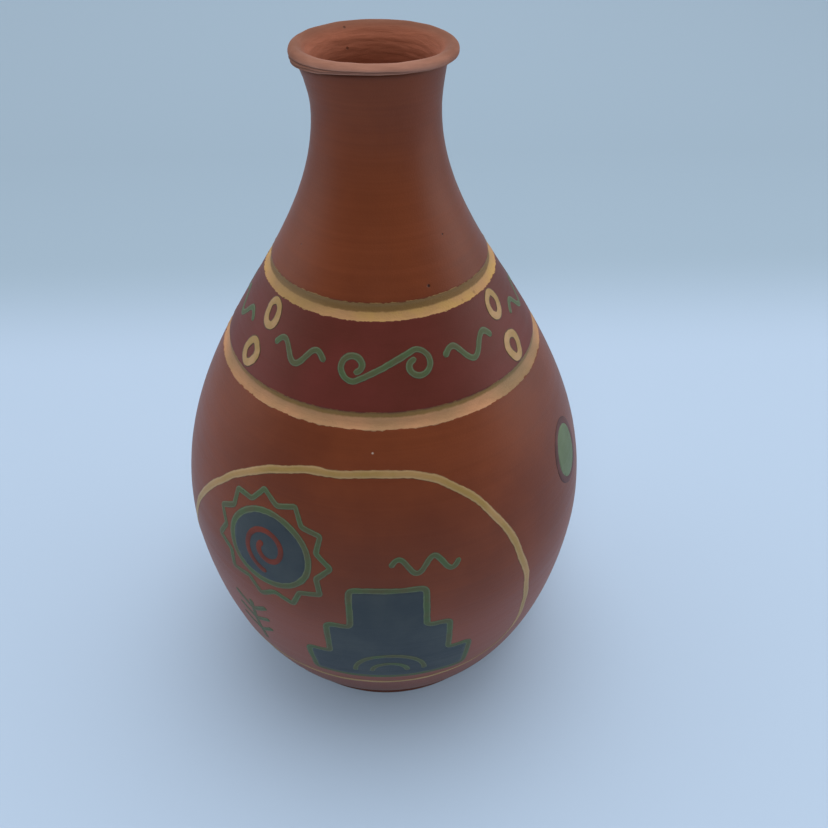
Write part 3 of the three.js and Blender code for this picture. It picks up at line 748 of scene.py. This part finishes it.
coat = {
    # how far above the clay each film is, and how far in the clay its underside
    "gold": 0.12, "slip": 0.06, "stroke": 0.12, "field": 0.06, "sunk": 0.05, "rim": 0.02,
    "bandOver": 0.12, "aroundSteps": 480,
    "nextToRim": 0.75,  # share of the film in the rows beside the rims
    # a band's edges wander: how far, how deep into the band, and the waves and share of two noises
    "bandWander": 0.4, "wanderDepth": 1.2,
    "slowWaves": 9, "slowShare": 0.7, "quickWaves": 40, "quickShare": 0.9,
    "slipEdge": [-0.1, 0.0, 0.3], "slipInside": 0.7, "slipStep": 1.3,
    "apart": 10.0,  # keeps a coat's two skins apart while it is turned
}


def girdle(name, node, finish, distances, film, wander, seed):
    lifts = [film] * len(distances)
    lifts[1] = lifts[-2] = film * coat["nextToRim"]
    lifts[0] = lifts[-1] = coat["rim"]
    profile = [(coat["apart"] + wallAt(d)[0].x + lift, wallAt(d)[0].y, d, lift)
               for d, lift in zip(distances, lifts)]
    profile += [(wallAt(d)[0].x, wallAt(d)[0].y, d, -coat["sunk"]) for d in distances[::-1]]
    bm, along, own = turnedShape(profile, coat["aroundSteps"], True)
    low, high = distances[0], distances[-1]
    for vert in bm.verts:
        turn = math.atan2(vert.co.x, -vert.co.y)
        distance = vert[along]
        side = 1 if distance > (low + high) / 2 else -1
        nearEdge = 1 - min(abs(distance - low), abs(distance - high)) / coat["wanderDepth"]
        if wander and nearEdge > 0:
            slow = coat["slowShare"] * roundNoise(turn, coat["slowWaves"], seed + side)
            quick = coat["quickShare"] * roundNoise(turn, coat["quickWaves"], seed + 5 * side)
            distance += side * wander * nearEdge * (slow + quick)
        vert.co = clayPoint(turn, distance, vert[own])
        vert[own] = (vert[along] - low) / (high - low)  # the share of the way up, for the stripes
    makePiece(bm, name, node, finish)


for name, middle, finish, seed in (("lower_gold_band", grooves[0], lowerBandGold, 3),
                                   ("upper_gold_band", grooves[1], upperBandGold, 21)):
    edges = [middle - grooveHalf - coat["bandOver"], middle + grooveHalf + coat["bandOver"]]
    distances = [edges[0]] + [middle + grooveHalf * share for share in grooveRows] + [edges[1]]
    girdle(name + "_coat", name, finish, distances, coat["gold"], coat["bandWander"], seed)
# the slip starts just under the gold's edges
slipFrom, slipTo = grooves[0] + grooveHalf, grooves[1] - grooveHalf
slipRows = [slipFrom + step for step in coat["slipEdge"]]
slipRows += spread(slipFrom + coat["slipInside"], slipTo - coat["slipInside"], coat["slipStep"])
slipRows += [slipTo - step for step in coat["slipEdge"][::-1]]
girdle("shoulder_red_slip_coat", "shoulder_red_slip", redSlip, slipRows, coat["slip"], 0.0, 40)
print("bands laid")


# Flat lines, in millimetres to the right and up

points = {"oval": 72, "spiral": 36, "wave": 24, "arch": 24, "frame": 240}  # on each, or on each turn or hump


def evenly(path, step, closed):
    ring = path + path[:1] if closed else path
    reach = reachAlong(ring)
    count = max(4, round(reach[-1] / step))
    even = []
    for i in range(count if closed else count + 1):
        k, share = placeIn(reach, reach[-1] * i / count)
        even.append(ring[k].lerp(ring[k + 1], share))
    return even


def relaxed(path, times, closed):
    # rounds corners off, as a brush does
    for _ in range(times):
        before = path[-1:] + path[:-1]
        after = path[1:] + path[:1]
        eased = [p.lerp((a + b) / 2, 0.5) for a, p, b in zip(before, path, after)]
        path = eased if closed else path[:1] + eased[1:-1] + path[-1:]
    return path


def wandering(path, amount, size, seed):
    moved = []
    for p in path:
        shift = noise.noise_vector(Vector((p.x / size, p.y / size, seed)))
        moved.append(p + Vector((shift.x, shift.y)) * amount)
    return moved


def drawnLine(path, step, closed, seed, corner, wander, size, rise):
    drawn = wandering(relaxed(evenly(path, step, closed), corner, closed), wander, size, seed)
    return [p + Vector((0, rise)) for p in drawn]


def ovalPoint(turn, halfWidth, halfHeight):
    return Vector((halfWidth * math.cos(turn), halfHeight * math.sin(turn)))


def oval(halfWidth, halfHeight):
    return [ovalPoint(2 * math.pi * i / points["oval"], halfWidth, halfHeight) for i in range(points["oval"])]


def spiral(inside, outside, turns):
    # ends straight below its middle
    steps = math.ceil(turns * points["spiral"])
    radii = [inside + (outside - inside) * i / steps for i in range(steps + 1)]
    return [ovalPoint(2 * math.pi * turns * (i / steps - 1) - math.pi / 2, radius, radius)
            for i, radius in enumerate(radii)]


def wave(length, height, humps):
    steps = round(humps * points["wave"])
    return [Vector((length * (i / steps - 0.5), height / 2 * math.sin(2 * math.pi * humps * i / steps)))
            for i in range(steps + 1)]


# Coats on a flat shape, and how they are laid round the clay

brush = {
    "acrossRows": [-1.0, -0.9, -0.62, -0.22, 0.22, 0.62, 0.9, 1.0],
    "press": 0.14, "pressSize": 7, "finePress": 0.13, "finePressSize": 1.7,
    "tip": 0.14,  # how wide a stroke still is at its very end
    "fullness": 3,  # how flat the film is across, before it falls to the rims
    "lineStep": 0.5, "areaStep": 0.9, "cell": 2.4, "corner": 3, "wander": 0.3, "wanderSize": 9.0,
}


def brushLine(bm, path, width, closed, seed, pressure=None):
    # a strip bent along the path; its uv holds centimetres along and a share across
    uv = bm.loops.layers.uv.get("stroke") or bm.loops.layers.uv.new("stroke")
    count = len(path) if closed else len(path) - 1
    length = sum((path[(i + 1) % len(path)] - path[i]).length for i in range(count))
    columns = len(brush["acrossRows"]) - 1
    made = bmesh.ops.create_grid(bm, x_segments=count, y_segments=columns, size=0.5, calc_uvs=True)["verts"]
    for face in {face for vert in made for face in vert.link_faces}:
        for loop in face.loops:
            u, v = loop[uv].uv
            loop[uv].uv = (u * length / 10 + seed, (brush["acrossRows"][round(v * columns)] + 1) / 2)
    for vert in made:
        i = round((vert.co.x + 0.5) * count)
        across = brush["acrossRows"][round((vert.co.y + 0.5) * columns)]
        here = path[i % len(path)]
        before = path[i - 1] if closed or i > 0 else here
        after = path[(i + 1) % len(path)] if closed or i < count else here
        ahead = (after - before).normalized()
        left = Vector((-ahead.y, ahead.x))
        size, fine = brush["pressSize"], brush["finePressSize"]
        press = 1 + brush["press"] * noise.noise(Vector((here.x / size, here.y / size, seed + 9)))
        press += brush["finePress"] * noise.noise(Vector((here.x / fine, here.y / fine, seed + across * 3)))
        if pressure:
            press *= pressure(here)
        reach = width / 2 * press
        tip = 1.0
        if not closed:
            toEnd = min(i, count - i) * length / count
            if toEnd < reach:
                tip = max(brush["tip"], math.sqrt(1 - (1 - toEnd / reach) ** 2))
        spot = here + left * (across * reach * tip)
        film = coat["rim"] + (coat["stroke"] - coat["rim"]) * (1 - abs(across) ** brush["fullness"]) * tip
        vert.co = (spot.x, spot.y, film)


def paintedField(bm, outline, cell):
    # one flat face, cut into cells small enough to follow the clay
    bm.faces.new([bm.verts.new((p.x, p.y, coat["field"])) for p in outline])
    for axis, normal in enumerate(((1, 0, 0), (0, 1, 0))):
        low, high = min(p[axis] for p in outline), max(p[axis] for p in outline)
        for at in spread(low, high, cell)[1:-1]:
            bmesh.ops.bisect_plane(bm, geom=bm.verts[:] + bm.edges[:] + bm.faces[:], dist=1e-5,
                                   plane_co=Vector(normal) * at, plane_no=normal)


def layOnClay(bm, node, finish, place, over=0.0):
    # gives the flat coat an underside, then bends it round the clay
    bmesh.ops.remove_doubles(bm, verts=bm.verts, dist=weldWithin)
    made = bmesh.ops.extrude_face_region(bm, geom=bm.faces[:], use_keep_orig=True)["geom"]
    for vert in made:
        if isinstance(vert, bmesh.types.BMVert):
            vert.co.z = -coat["sunk"]
    azimuth, distance, x, _ = place
    middleRadius = radiusAt(distance)
    start = math.radians(azimuth + math.degrees(x / middleRadius))
    for vert in bm.verts:
        x, y, z = vert.co
        vert.co = clayPoint(start + x / middleRadius, distance + y, z + over)
    makePiece(bm, node + "_coat", node, finish)


# A place is an azimuth and a distance along the wall, then millimetres to the right and up from there.
# The seeds only have to differ.

def paintLine(node, finish, path, width, place, closed, seed, over=0.0, corner=brush["corner"],
              wander=brush["wander"], size=brush["wanderSize"], pressure=None):
    line = drawnLine(path, brush["lineStep"], closed, seed, corner, wander, size, place[3])
    bm = bmesh.new()
    brushLine(bm, line, width, closed, seed, pressure)
    layOnClay(bm, node, finish, place, over)


def paintArea(node, finish, outline, place, seed, corner=brush["corner"]):
    edge = drawnLine(outline, brush["areaStep"], True, seed, corner, brush["wander"],
                     brush["wanderSize"], place[3])
    bm = bmesh.new()
    paintedField(bm, edge, brush["cell"])
    layOnClay(bm, node, finish, place)


# On the red slip: pairs of gold rings, and between them a green scroll with a wave on either side

band = {
    "ringPairs": [(-57, 1.4), (59, 0.0), (181, 0.7)],  # azimuth, lean
    "ringWidth": 7.8, "ringHeight": 9.8, "ringLine": 2.0, "ringEdge": 0.9, "ringClearance": 0.5, "gap": 0.3,
    "ringWander": 0.55, "ringWanderSize": 4.5,
    "scrollReach": 9.0, "scrollRadius": 4.6, "scrollInside": 1.7,
    "waveClearance": 3.3, "waveHeight": 6.0, "waveHumps": 1.5, "waveCorner": 2, "stroke": 2.0,
}
bandFrom = grooves[0] + grooveHalf + band["gap"]
bandTo = grooves[1] - grooveHalf - band["gap"]
bandDistance = distanceAt(wallAt((bandFrom + bandTo) / 2)[0].y)
bandRadius = radiusAt(bandDistance)


def paintRings():
    loop = oval((band["ringWidth"] - band["ringLine"]) / 2, (band["ringHeight"] - band["ringLine"]) / 2)
    rise = (bandTo - bandFrom - band["ringHeight"]) / 2 - band["ringClearance"]
    for number, (azimuth, lean) in enumerate(band["ringPairs"], 1):
        for end, side in (("upper", 1), ("lower", -1)):
            place = (azimuth, bandDistance, side * lean, side * rise)
            paintLine(f"gold_ring_{number}_{end}", ringGold, loop, band["ringLine"] + band["ringEdge"], place,
                      True, 10 * number + side, coat["slip"], wander=band["ringWander"],
                      size=band["ringWanderSize"])


def paintStrokes():
    coil = spiral(band["scrollInside"], band["scrollRadius"], 1)
    curl = [p + Vector((-band["scrollReach"], 0)) for p in coil]
    scroll = curl + [Vector((-p.x, -p.y)) for p in curl[::-1]]
    scrollEnd = band["scrollReach"] + band["scrollRadius"] + band["stroke"] / 2
    azimuths = [azimuth for azimuth, _ in band["ringPairs"]]
    for number, (start, end) in enumerate(zip(azimuths, azimuths[1:] + [azimuths[0] + 360]), 1):
        middle = (start + end) / 2
        rings = math.radians(end - start) / 2 * bandRadius - band["ringWidth"] / 2
        ripple = wave(rings - scrollEnd - 2 * band["waveClearance"], band["waveHeight"], band["waveHumps"])
        paintLine(f"green_scroll_{number}", strokeGreen, scroll, band["stroke"],
                  (middle, bandDistance, 0, 0), False, 50 + number, coat["slip"])
        for side, sign in (("left", -1), ("right", 1)):
            place = (middle, bandDistance, sign * (rings + scrollEnd) / 2, 0)
            paintLine(f"green_wave_{number}_{side}", strokeGreen, ripple, band["stroke"], place, False,
                      60 + 3 * number + sign, coat["slip"], corner=band["waveCorner"])


paintRings()
paintStrokes()
print("shoulder painted")


# Panels on the belly, with a sun, a stepped hill, a plant and a ripple in each, framed in gold

panel = {
    "places": [("front", -15, 1), ("rear", 165, 2)],  # name, azimuth, seed
    "middleHeight": 55.0, "bottomHeight": 30.5, "halfWidth": 70.0, "belowGroove": 14.0,
    "topLeft": 2.0, "topRight": 3.0, "bottom": 3.4,  # how square the outline is there
    # where the hand swelled and flattened the outline: share, direction and span in degrees
    "stretches": [(0.03, 68, 14), (-0.054, 34, 24)],
    # the brush was nearly dry at the lower right, and light along the bottom
    "dry": 0.6, "dryRight": (30, 62), "dryBelow": (4, 20), "light": 0.25, "lightBelow": (18, 24),
    "frame": 2.7, "frameWander": 0.6, "outline": 2.4, "stroke": 2.0,
    "sunToLeft": 22.0, "sunBelowFrame": 10.0, "sunHalfWidth": 15.0, "sunHalfHeight": 13.5,
    "rays": 11, "rayLength": 4.0, "rayClearance": 1.2,
    "spiralInside": 2.4, "spiralClearance": 4.5, "spiralTurns": 1.4,
    "hillToRight": 18.0, "hillAboveFrame": 6.5, "hillHalfWidth": 28.0, "hillSteps": 3,
    "hillCorner": 8, "hillEdgeCorner": 20,
    "stepRise": 17.5, "stepRun": 8.0, "archLift": 5.0, "archRadii": [6.5, 12.5],
    "plantFromHill": 22.0, "plantLift": 4.0, "plantLength": 26.0, "plantWander": 0.5,
    "leafSpan": 7.0, "leafRise": 5.0, "leafPairs": 3,
    "rippleToRight": 30.0, "rippleAboveHill": 9.0, "rippleLength": 22.0, "rippleHeight": 6.0,
    "rippleHumps": 2, "sharpCorner": 2,
}
panelDistance = distanceAt(panel["middleHeight"])
panelRise = grooves[0] - grooveHalf - panel["belowGroove"] - panelDistance
panelDrop = panelDistance - distanceAt(panel["bottomHeight"])
hillBase = panel["hillAboveFrame"] - panelDrop


def frameOutline():
    outline = []
    for i in range(points["frame"]):
        turn = 2 * math.pi * (i + 0.5) / points["frame"]
        s, c = math.sin(turn), math.cos(turn)
        top = panel["topRight" if c > 0 else "topLeft"]
        power = 2 / (top if s > 0 else panel["bottom"])
        reach = panelRise if s > 0 else panelDrop
        corner = Vector((math.copysign(panel["halfWidth"] * abs(c) ** power, c),
                         math.copysign(reach * abs(s) ** power, s)))
        towards = math.degrees(math.atan2(corner.y, corner.x))
        stretch = sum(share * math.exp(-((towards - middle) / span) ** 2)
                      for share, middle, span in panel["stretches"])
        outline.append(corner * (1 + stretch))
    return outline


def framePressure(spot):
    dry = panel["dry"] * smooth(spot.x, *panel["dryRight"]) * smooth(-spot.y, *panel["dryBelow"])
    return 1 - dry - panel["light"] * smooth(-spot.y, *panel["lightBelow"])


def hillOutline():
    right = []
    for i in range(panel["hillSteps"]):
        x = panel["hillHalfWidth"] - i * panel["stepRun"]
        right += [Vector((x, i * panel["stepRise"])), Vector((x, (i + 1) * panel["stepRise"]))]
    return right + [Vector((-p.x, p.y)) for p in right[::-1]]


def raysOutline(halfWidth, halfHeight):
    outline = []
    for i in range(2 * panel["rays"]):
        out = 0 if i % 2 else panel["rayLength"]
        outline.append(ovalPoint(math.pi * i / panel["rays"], halfWidth + out, halfHeight + out))
    return outline


def paintSun(name, at, seed):
    foot = (panel["outline"] + panel["stroke"]) / 2 + panel["rayClearance"]
    over = panel["sunHalfHeight"] + foot + panel["rayLength"] + panel["stroke"] / 2
    place = at(-panel["sunToLeft"], panelRise - panel["sunBelowFrame"] - over)
    edge = oval(panel["sunHalfWidth"], panel["sunHalfHeight"])
    rays = raysOutline(panel["sunHalfWidth"] + foot, panel["sunHalfHeight"] + foot)
    coilRadius = panel["sunHalfHeight"] - panel["spiralClearance"]
    coil = spiral(panel["spiralInside"], coilRadius, panel["spiralTurns"])
    paintArea(name + "_sun_field", fieldSlate, edge, place, seed)
    paintLine(name + "_sun_edge", strokeGreen, edge, panel["outline"], place, True, seed)
    paintLine(name + "_sun_rays", strokeGreen, rays, panel["stroke"], place, True, seed + 7,
              corner=panel["sharpCorner"])
    paintLine(name + "_sun_spiral", spiralRed, coil, panel["stroke"], place, False, seed + 14, coat["field"])


def paintHill(name, at, seed):
    outline = hillOutline()
    place = at(panel["hillToRight"], hillBase)
    archPlace = at(panel["hillToRight"], hillBase + panel["archLift"])
    paintArea(name + "_hill_field", fieldSlate, outline, place, seed + 21, panel["hillCorner"])
    paintLine(name + "_hill_edge", strokeGreen, outline, panel["outline"], place, True, seed + 21,
              corner=panel["hillEdgeCorner"])
    turns = [math.pi * (1 - i / points["arch"]) for i in range(points["arch"] + 1)]
    for number, radius in enumerate(panel["archRadii"], 1):
        arch = [ovalPoint(turn, radius, radius) for turn in turns]
        paintLine(f"{name}_hill_arch_{number}", strokeGreen, arch, panel["stroke"], archPlace, False,
                  seed + 21 + number, coat["field"])


def paintPlant(name, at, seed):
    place = at(panel["hillToRight"] - panel["hillHalfWidth"] - panel["plantFromHill"],
               hillBase + panel["plantLift"])
    strokes = [[Vector((0, 0)), Vector((0, panel["plantLength"]))]]
    for pair in range(1, panel["leafPairs"] + 1):
        foot = Vector((0, (panel["plantLength"] - panel["leafRise"]) * pair / panel["leafPairs"]))
        for side in (-1, 1):
            strokes.append([foot, foot + Vector((side * panel["leafSpan"], panel["leafRise"]))])
    bm = bmesh.new()
    for i, stroke in enumerate(strokes):
        line = drawnLine(stroke, brush["lineStep"], False, seed + 31, brush["corner"], panel["plantWander"],
                         brush["wanderSize"], place[3])
        brushLine(bm, line, panel["stroke"], False, seed + 31 + i)
    layOnClay(bm, name + "_plant", strokeGreen, place)


def paintPanel(name, azimuth, seed):
    def at(x, y):
        return azimuth, panelDistance, x, y
    paintLine(name + "_gold_frame", frameGold, frameOutline(), panel["frame"], at(0, 0), True, 100 * seed,
              wander=panel["frameWander"], pressure=framePressure)
    paintSun(name, at, 110 * seed)
    paintHill(name, at, 120 * seed)
    paintPlant(name, at, 130 * seed)
    ripple = wave(panel["rippleLength"], panel["rippleHeight"], panel["rippleHumps"])
    height = hillBase + panel["hillSteps"] * panel["stepRise"] + panel["rippleAboveHill"]
    place = at(panel["rippleToRight"], height)
    paintLine(name + "_ripple", strokeGreen, ripple, panel["stroke"], place, False, 140 * seed,
              corner=panel["sharpCorner"])


for name, azimuth, seed in panel["places"]:
    paintPanel(name, azimuth, seed)
print("panels painted")


# Green discs with dark red rims between the panels

disc = {
    "places": [("right", 66), ("left", 246)],  # name, azimuth
    "height": 106.0, "halfWidth": 8.9, "halfHeight": 10.8, "rim": 2.6,
}

for name, azimuth in disc["places"]:
    place = (azimuth, distanceAt(disc["height"]), 0, 0)
    edge = oval(disc["halfWidth"], disc["halfHeight"])
    paintArea(name + "_disc_field", discGreen, edge, place, azimuth)
    paintLine(name + "_disc_edge", redRim, edge, disc["rim"], place, True, azimuth)
print("discs painted")


# Floor, light and camera

studio = {
    "floorSize": 6.0, "floor": "b4c9e0", "farFloor": "9fb5c7", "farFrom": 0.17, "farTo": 0.31,
    "fadeFrom": 0.5, "fadeTo": 1.2, "fade": 0.3,  # painted light: the far floor is made paler where less light falls
    "floorRoughness": 0.9, "floorRelief": 0.02, "floorSpecular": 0.1,
    "skyBehind": 1.06, "skyFront": 0.14, "skyTurns": (-0.7, 0.5),  # brighter behind the vase than in front
    "sky": "f6f6f8", "shown": "a0b5c7",
    "aim": (0, 0, 0.1),
    "lamps": {
        # name: place, width, power, and whether gloss shows it
        "top": ((0.1, 0.2, 1.3), 1.1, 5.5, True),
        "left": ((-1.1, 0.1, 0.45), 0.9, 1.3, True),
        "right": ((1.1, 0.0, 0.3), 0.9, 2.7, True),
        "front": ((-0.1, -1.0, 1.1), 0.7, 5.4, False),
    },
}
# the photograph's view: 829 pixels of focal length on 828 of width
view = {"spot": (0.0, -0.2341, 0.2920), "down": 39.18, "yaw": 2.64, "roll": 0.19, "focal": 829 / 828,
        "sensor": 36, "clip": 0.01}


def layFloor():
    bm = bmesh.new()
    bmesh.ops.create_grid(bm, x_segments=8, y_segments=8, size=studio["floorSize"] / 2)
    f = Finish("pale_floor")
    depth = f.metres("Y")
    far = f.step(depth, studio["farFrom"], studio["farTo"])
    colour = f.mix(far, studio["floor"], studio["farFloor"])
    further = f.node("MapRange", {}, {
        "Value": depth, "From Min": studio["fadeFrom"], "From Max": studio["fadeTo"],
        "To Min": 1.0, "To Max": 1 + studio["fade"],
    })
    material = f.close(f.shade(colour, further), studio["floorRoughness"], f.cloud(3, 2),
                       studio["floorRelief"], studio["floorSpecular"])
    meshObject(bm, "studio_floor", material)


def lightRoom():
    world = bpy.data.worlds.new("studio_world")
    bpy.context.scene.world = world
    world.use_nodes = True
    f = Finish("studio_world", world.node_tree)
    towards = f.node("SeparateXYZ", {}, {"Vector": f.node("TexCoord", {}, {}, "Generated")}, "Y")
    behind = f.step(towards, *studio["skyTurns"])
    strength = studio["skyFront"] + behind * (studio["skyBehind"] - studio["skyFront"])
    light = f.node("Background", {}, {"Color": studio["sky"], "Strength": strength})
    shown = f.node("Background", {}, {"Color": studio["shown"], "Strength": 1.0})
    camera = f.node("LightPath", {}, {}, "Is Camera Ray")
    both = f.node("MixShader", {}, {0: camera, 1: light, 2: shown})
    f.node("OutputWorld", {}, {"Surface": both})
    for name, (spot, size, power, shine) in studio["lamps"].items():
        lamp = bpy.data.lights.new(name + "_lamp", "AREA")
        lamp.shape, lamp.size, lamp.energy = "DISK", size, power
        holder = bpy.data.objects.new(name + "_lamp", lamp)
        holder.visible_glossy = shine
        aim = (Vector(studio["aim"]) - Vector(spot)).to_track_quat("-Z", "Y")
        holder.matrix_world = Matrix.Translation(spot) @ aim.to_matrix().to_4x4()
        bpy.context.scene.collection.objects.link(holder)


def setCamera():
    camera = bpy.data.cameras.new("camera")
    camera.sensor_width = view["sensor"]
    camera.lens = view["sensor"] * view["focal"]
    camera.clip_start = view["clip"]
    holder = bpy.data.objects.new("camera", camera)
    holder.matrix_world = (Matrix.Translation(view["spot"])
                           @ Matrix.Rotation(-math.radians(view["yaw"]), 4, "Z")
                           @ Matrix.Rotation(math.radians(90 - view["down"]), 4, "X")
                           @ Matrix.Rotation(math.radians(view["roll"]), 4, "Z"))
    bpy.context.scene.collection.objects.link(holder)
    bpy.context.scene.camera = holder


layFloor()
lightRoom()
setCamera()
bpy.context.scene.view_settings.view_transform = "Standard"
print("studio set")
